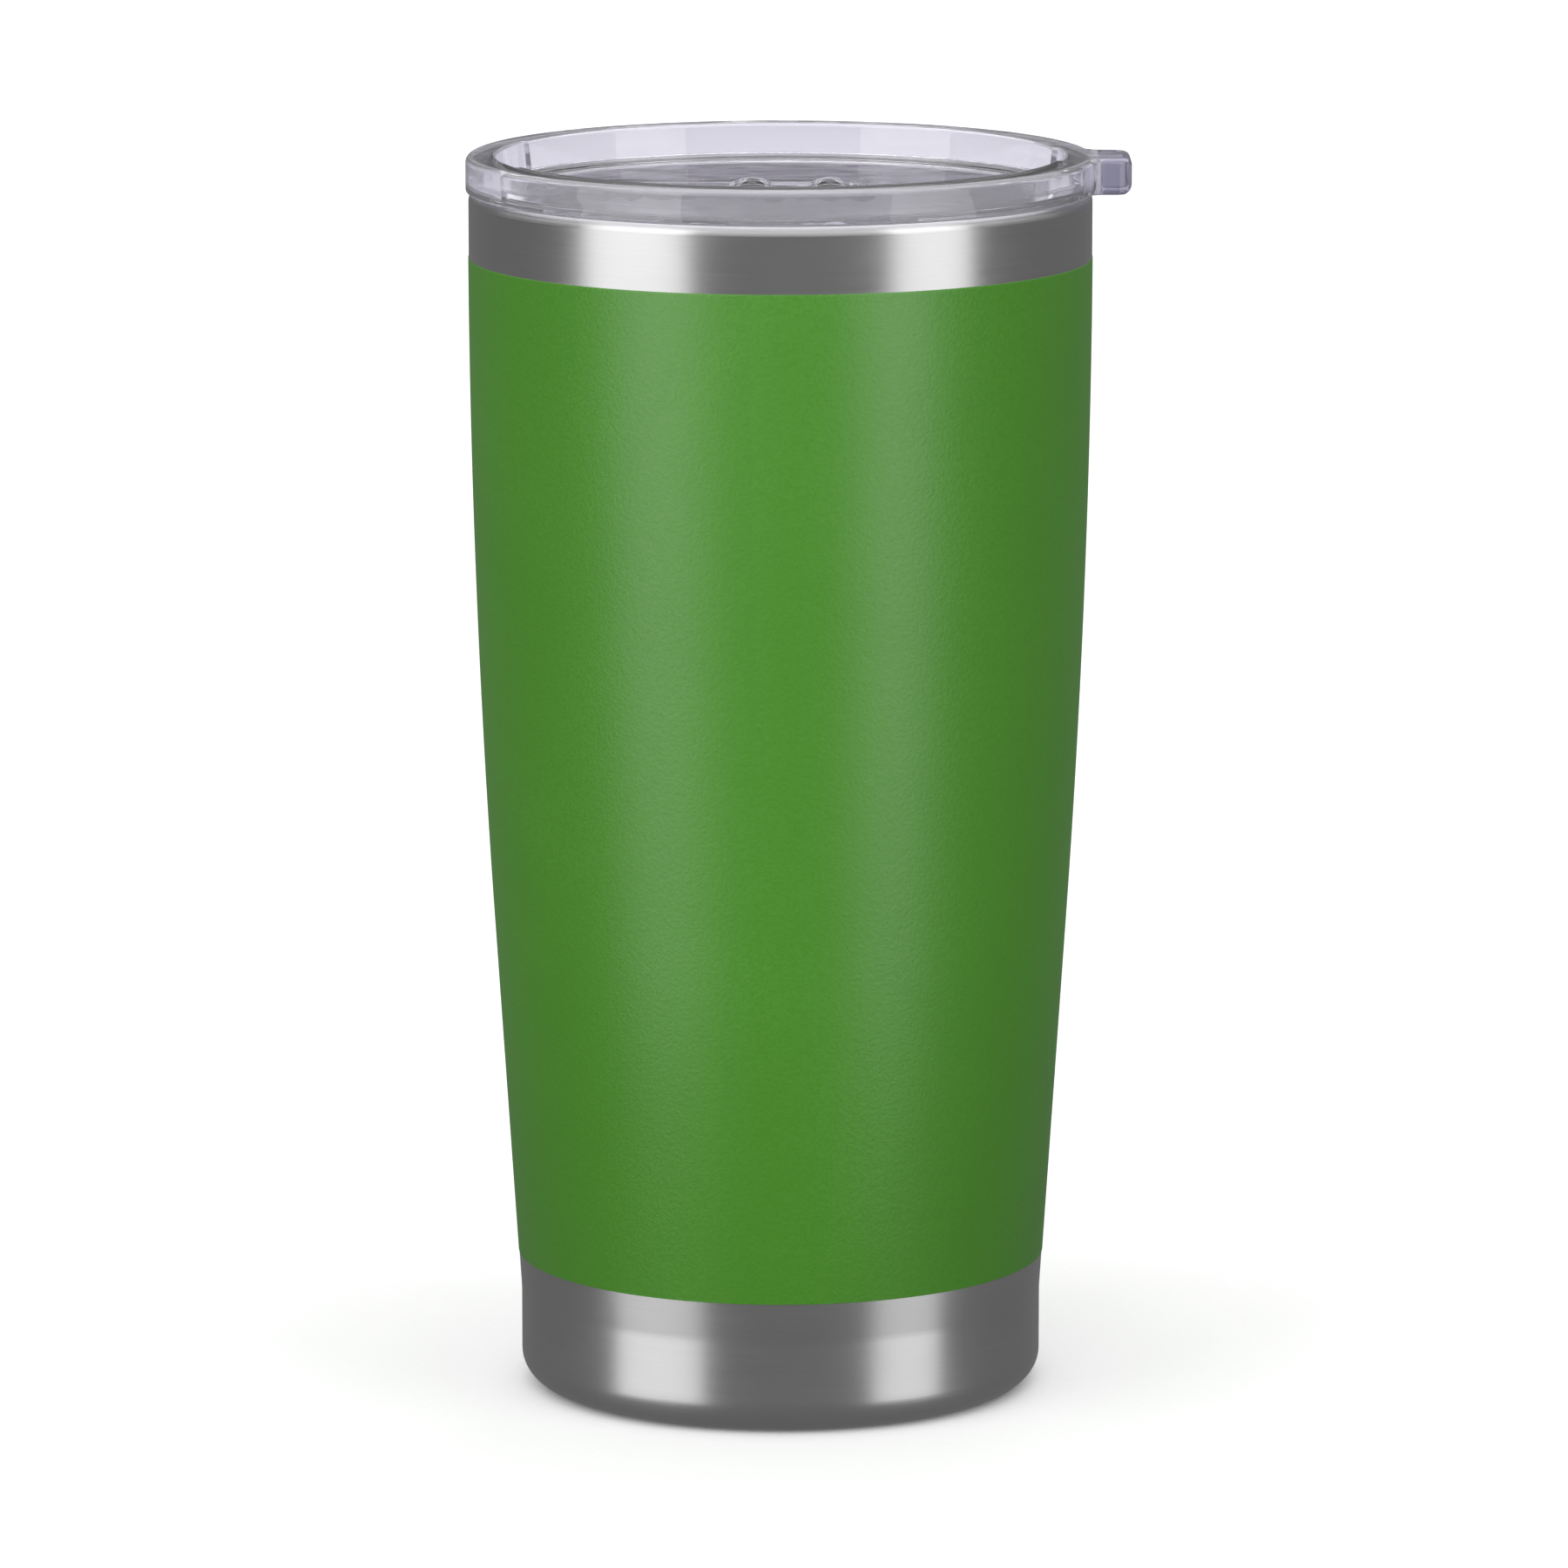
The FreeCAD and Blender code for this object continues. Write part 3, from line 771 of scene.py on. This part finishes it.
clear_tint = (0.955, 0.95, 0.975, 1.0)
worn_tint = (0.87, 0.86, 0.93, 1.0)
deep_tint = (0.33, 0.32, 0.41, 1.0)
clear_plastic = clear_finish(
    "clear_plastic",
    clear_tint,
    clear_tint,
    clearness=1.0,
    roughness=0.01,
    haze=0.03,
    unevenness=0.00003,
)
worn_plastic = clear_finish(
    "worn_plastic",
    worn_tint,
    deep_tint,
    clearness=0.74,
    roughness=0.02,
    haze=0.05,
    unevenness=0.0003,
)
lid.data.materials.append(clear_plastic)
lid.data.materials.append(worn_plastic)

# The rim and tab are milkier than the deck and plug.
rim_reach = 0.0001
for face in lid.data.polygons:
    outside = face.center.xy.length > rim_radius - rim_reach
    above = face.center.z > flange_under - rim_reach
    face.material_index = int(outside and above)
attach(lid, "lid")
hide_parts("lid_body")

# ---- Slider ------------------------------------------------------------------------------------
# A clear moulded plate that runs in the lid's channel and covers the sip slot. It has a thumb grip of
# two low humps, and two split legs below that snap through the guide slot.
plate_gap = 0.0001
plate_low = channel_floor + plate_gap
plate_top = deck - plate_gap
plate_half = channel_half - slider_gap
plate_radius = channel_end - slider_gap
plate_corner = channel_corner - slider_gap
plate_edge_round = 0.0003
open_by = slider_low.x + plate_radius
plate = tongue_plan(plate_half, slider_high.x, plate_corner, plate_radius, open_by)
slide_rise = Vector((0, 0, plate_top - plate_low))
slide = thickened("slider_moulding", level_plan(plate, plate_low), slide_rise)
beveled(slide, at_height(plate_top), plate_edge_round, 3)

grip_centre = slider_high.x - 0.01045
hump_offset = 0.0058
hump_half = 0.0032
hump_crest = slider_high.z
saddle = deck + 0.00025


def hump(centre, left, right):
    """Arc of one hump, through its crest, from a left height to a right height."""
    a = Vector((centre - hump_half, left))
    b = Vector((centre, hump_crest))
    c = Vector((centre + hump_half, right))
    twice = 2 * (a.x * (b.y - c.y) + b.x * (c.y - a.y) + c.x * (a.y - b.y))
    squares = (a.length_squared, b.length_squared, c.length_squared)
    middle_x = squares[0] * (b.y - c.y) + squares[1] * (c.y - a.y) + squares[2] * (a.y - b.y)
    middle_y = squares[0] * (c.x - b.x) + squares[1] * (a.x - c.x) + squares[2] * (b.x - a.x)
    middle = Vector((middle_x, middle_y)) / twice
    size = (a - middle).length
    first = math.atan2(a.y - middle.y, a.x - middle.x)
    last = math.atan2(c.y - middle.y, c.x - middle.x)
    return arc(middle, size, first, last - first, 16)


grip_foot = plate_top - overlap
grip_line = [Vector((grip_centre - hump_offset - hump_half, grip_foot))]
grip_line += hump(grip_centre - hump_offset, plate_top, saddle)
grip_line += hump(grip_centre + hump_offset, saddle, plate_top)
grip_line.append(Vector((grip_centre + hump_offset + hump_half, grip_foot)))
grip_line.append(grip_line[0])
grip_half = 0.0065
grip_end_round = 0.0003
grip = thickened(
    "grip", [Vector((p.x, -grip_half, p.y)) for p in grip_line], Vector((0, 2 * grip_half, 0))
)


def grip_ends(one, other):
    """Picks the curved edges at both ends of the humps."""
    same_side = abs(one.y - other.y) < 0.00001
    return same_side and min(one.z, other.z) > plate_top - 0.00005


beveled(grip, grip_ends, grip_end_round, 4)
joined(slide, grip)

# Each leg is a tongue with a hook that catches under the channel's floor.
leg_inner = 0.0007
leg_outer = 0.0019
hook_outer = 0.0029
hook_edge = 0.00043
hook_top = channel_under - 0.0002
hook_low = slider_low.z
leg_top = plate_low + 0.0005
leg_half_length = 0.003
for side in (-1, 1):
    leg = rounded(
        [
            (side * leg_inner, leg_top),
            (side * leg_inner, hook_low),
            (side * leg_outer, hook_low),
            (side * hook_outer, hook_top - hook_edge),
            (side * hook_outer, hook_top),
            (side * leg_outer, hook_top),
            (side * leg_outer, leg_top),
        ],
        closed=True,
    )
    foot = [Vector((leg_x - leg_half_length, p.x, p.y)) for p in leg]
    joined(slide, thickened("leg", foot, Vector((2 * leg_half_length, 0, 0))))
smoothed(slide, 35.0)
modified(slide, "WEIGHTED_NORMAL", mode="FACE_AREA", weight=100, keep_sharp=True)
slide.data.materials.append(clear_plastic)
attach(slide, "slider")
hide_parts("lid_slider")

# ---- Gasket ------------------------------------------------------------------------------------
# A ring of translucent silicone stretched into the plug's groove, with two wiping ribs that seal
# against the liner.
seal_low, seal_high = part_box("lid_gasket")
seal_bore = groove_radius + 0.00006
seal_band = seal_bore + 0.00075
seal_tip = seal_high.x
rib_foot_half = 0.00045
rib_tip_half = 0.0002
rib_tip_round = 0.00015
ring = [(seal_bore, seal_high.z), (seal_bore, seal_low.z), (seal_band, seal_low.z)]
rib_pitch = (seal_high.z - seal_low.z) / 2
for number in range(2):
    middle = seal_low.z + rib_pitch * (number + 0.5)
    ring += [
        (seal_band, middle - rib_foot_half),
        (seal_tip, middle - rib_tip_half, rib_tip_round, 4),
        (seal_tip, middle + rib_tip_half, rib_tip_round, 4),
        (seal_band, middle + rib_foot_half),
    ]
ring.append((seal_band, seal_high.z))
gasket = spun("gasket_ring", rounded(ring, closed=True))
smoothed(gasket)
silicone_tint = (0.93, 0.93, 0.94, 1.0)
clear_silicone = clear_finish(
    "clear_silicone",
    silicone_tint,
    silicone_tint,
    clearness=0.94,
    roughness=0.10,
    haze=0.12,
    unevenness=0.00002,
    index=1.41,
)
gasket.data.materials.append(clear_silicone)
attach(gasket, "lid_seal")
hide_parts("lid_gasket")

# ---- Parts closed inside the wall --------------------------------------------------------------
# The vacuum cap with its sealing pellet, the getter pan with its pill of powder, and the copper
# foil round the liner. None shows once the cup is welded.
cap_grey = (0.55, 0.55, 0.55, 1.0)
cap_steel = steel_finish(
    "cap_steel",
    cap_grey,
    roughness=0.32,
    spread=0.12,
    lines=900.0,
    depth=0.00001,
    anisotropy=0.1,
)


def speckled(name, dark, light, size, roughness, depth, **values):
    """A material mottled between two colours, with a bump of the same grain."""
    material, tree, shader = new_finish(name, **values)
    where = placed(tree, "ShaderNodeTexCoord", {})
    grit = placed(
        tree,
        "ShaderNodeTexNoise",
        {"Vector": where.outputs["Object"], "Scale": size, "Detail": 5.0},
    )
    mix = placed(
        tree, "ShaderNodeMixRGB", {"Fac": grit.outputs["Fac"], "Color1": dark, "Color2": light}
    )
    rough = placed(
        tree,
        "ShaderNodeMapRange",
        {"Value": grit.outputs["Fac"], "To Min": roughness, "To Max": roughness + 0.2},
    )
    relief = placed(
        tree, "ShaderNodeBump", {"Strength": 1.0, "Distance": depth, "Height": grit.outputs["Fac"]}
    )
    tree.links.new(mix.outputs[0], shader.inputs["Base Color"])
    tree.links.new(rough.outputs[0], shader.inputs["Roughness"])
    tree.links.new(relief.outputs[0], shader.inputs["Normal"])
    return material


inner_finishes = {
    "vacuum_cap": cap_steel,
    "getter_pan": cap_steel,
    "seal_pellet": speckled(
        "seal_glass",
        dark=(0.10, 0.09, 0.08, 1),
        light=(0.22, 0.2, 0.17, 1),
        size=900.0,
        roughness=0.12,
        depth=0.00001,
    ),
    "getter_pill": speckled(
        "getter_powder",
        dark=(0.04, 0.04, 0.05, 1),
        light=(0.11, 0.11, 0.12, 1),
        size=4000.0,
        roughness=0.7,
        depth=0.00004,
    ),
    "heat_foil": speckled(
        "copper_foil",
        dark=(0.62, 0.30, 0.18, 1),
        light=(0.85, 0.48, 0.32, 1),
        size=260.0,
        roughness=0.15,
        depth=0.0002,
        Metallic=1.0,
    ),
}
for node_name, finish in inner_finishes.items():
    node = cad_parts[node_name]
    node.data.materials.clear()
    node.data.materials.append(finish)

# ---- Floor -------------------------------------------------------------------------------------
# A plain pale studio floor. Only the camera sees it: it isn't mirrored in the steel or seen through
# the plastic, and it throws no light back on the cup.
bpy.ops.object.select_all(action="DESELECT")
bpy.ops.mesh.primitive_plane_add(size=16.0, location=(0, 0, 0))
floor = bpy.context.object
floor.name = "studio_floor"
pale, tree, shader = new_finish("pale_paper", Roughness=0.9, Specular_IOR_Level=0.0)
where = placed(tree, "ShaderNodeTexCoord", {})
fibre = placed(
    tree, "ShaderNodeTexNoise", {"Vector": where.outputs["Object"], "Scale": 900.0, "Detail": 3.0}
)
paper = placed(
    tree,
    "ShaderNodeMixRGB",
    {"Fac": fibre.outputs["Fac"], "Color1": (0.90, 0.90, 0.90, 1), "Color2": (0.94, 0.94, 0.94, 1)},
)
tree.links.new(paper.outputs[0], shader.inputs["Base Color"])
floor.data.materials.append(pale)
floor.visible_glossy = False
floor.visible_shadow = False
floor.visible_transmission = False
floor.visible_diffuse = False

# ---- Light -------------------------------------------------------------------------------------
# A tall soft box stands each side of the camera for the steel and the lid, and another pair, set
# nearer the middle, lights the coat alone. A wide box hangs overhead, and two small ones fill in from
# front and back. The air is white to the eye and dark to reflections, which gives the steel its bands.
box_distance = 2.5
box_low = -0.8
box_high = 2.5


def lit_by_choice(name, state):
    """A list for a light: it lights the green coat only (INCLUDE), or all but the coat (EXCLUDE)."""
    chosen = bpy.data.collections.new(name)
    chosen.objects.link(coat)
    chosen.collection_objects[0].light_linking.link_state = state
    return chosen


def soft_box(name, azimuth, width_angle, radiance, lit):
    """A tall box of light, azimuth degrees round from the camera's side and width_angle wide."""
    angle = math.radians(azimuth)
    width = 2 * box_distance * math.tan(math.radians(width_angle) / 2)
    middle = (box_low + box_high) / 2
    where = (math.sin(angle) * box_distance, -math.cos(angle) * box_distance, middle)
    bpy.ops.object.light_add(type="AREA", location=where, rotation=(math.pi / 2, 0, angle))
    box = bpy.context.object
    box.name = name
    box.data.shape = "RECTANGLE"
    box.data.size = width
    box.data.size_y = box_high - box_low
    box.data.energy = radiance * math.pi * width * (box_high - box_low)
    box.visible_camera = False
    box.light_linking.receiver_collection = lit


coat_only = lit_by_choice("lit_coat", "INCLUDE")
all_but_coat = lit_by_choice("lit_steel_and_lid", "EXCLUDE")
soft_box("left_box", -55.5, 43.0, 1.52, all_but_coat)
soft_box("right_box", 57.5, 33.0, 1.42, all_but_coat)
soft_box("left_coat_box", -45.0, 33.0, 1.85, coat_only)
soft_box("right_coat_box", 43.0, 26.0, 2.0, coat_only)
overhead_height = 2.5
overhead_size = 8.0
overhead_power = 281.0
bpy.ops.object.light_add(type="AREA", location=(0, 0, overhead_height), rotation=(0, 0, 0))
overhead = bpy.context.object
overhead.name = "overhead_box"
overhead.data.size = overhead_size
overhead.data.energy = overhead_power
overhead.visible_camera = False
fill_height = 0.4
fill_tilt = math.radians(85)
fill_size = 1.0
for name, azimuth, power in (("front_fill", -12.0, 14.0), ("back_fill", 168.0, 12.0)):
    angle = math.radians(azimuth)
    place = (math.sin(angle) * box_distance, -math.cos(angle) * box_distance, fill_height)
    bpy.ops.object.light_add(type="AREA", location=place, rotation=(fill_tilt, 0, angle))
    fill = bpy.context.object
    fill.name = name
    fill.data.size = fill_size
    fill.data.energy = power
    fill.visible_camera = False
    fill.visible_glossy = False
    fill.visible_transmission = False

# Seen directly the air is white. Through the plastic it is lavender-grey, lighter from below, and it
# is dim to mirror reflections and dimmest to scattered light.
white_air = (1.0, 1.0, 1.0, 1.0)
above_air = (0.20, 0.19, 0.22, 1.0)
below_air = (0.72, 0.71, 0.76, 1.0)
scattered_air = (0.02, 0.02, 0.02, 1.0)
mirrored_air = (0.17, 0.17, 0.17, 1.0)
studio = bpy.data.worlds.new("studio_air")
bpy.context.scene.world = studio
studio.use_nodes = True
air = studio.node_tree
ray = placed(air, "ShaderNodeLightPath", {})
mirrored = placed(
    air,
    "ShaderNodeMath",
    {0: ray.outputs["Is Glossy Ray"], 1: ray.outputs["Is Transmission Ray"]},
    operation="SUBTRACT",
    use_clamp=True,
)
looking = placed(air, "ShaderNodeTexCoord", {})
heading = placed(air, "ShaderNodeSeparateXYZ", {0: looking.outputs["Generated"]})
downward = placed(air, "ShaderNodeMath", {0: heading.outputs[2], 1: 0.0}, operation="LESS_THAN")
through = placed(
    air,
    "ShaderNodeMixRGB",
    {
        "Fac": downward.outputs[0],
        "Color1": above_air,
        "Color2": below_air,
    },
)
clear_air = placed(
    air,
    "ShaderNodeMixRGB",
    {
        "Fac": ray.outputs["Is Transmission Ray"],
        "Color1": white_air,
        "Color2": through.outputs[0],
    },
)
dim_air = placed(
    air,
    "ShaderNodeMixRGB",
    {
        "Fac": ray.outputs["Is Diffuse Ray"],
        "Color1": clear_air.outputs[0],
        "Color2": scattered_air,
    },
)
mix = placed(
    air,
    "ShaderNodeMixRGB",
    {"Fac": mirrored.outputs[0], "Color1": dim_air.outputs[0], "Color2": mirrored_air},
)
air.links.new(mix.outputs[0], air.nodes["Background"].inputs["Color"])
studio.cycles.sampling_method = "NONE"

# ---- Camera ------------------------------------------------------------------------------------
# A long lens a little above the lid, looking slightly down.
eye = bpy.data.cameras.new("camera")
camera = bpy.data.objects.new("camera", eye)
bpy.context.scene.collection.objects.link(camera)
look_down = 10.093
camera.location = (0.0005, -1.3857, 0.3330)
camera.rotation_euler = (math.radians(90 - look_down), 0, 0)
eye.lens = 226.8
eye.sensor_width = 36.0
bpy.context.scene.camera = camera
bpy.context.scene.view_settings.view_transform = "Standard"
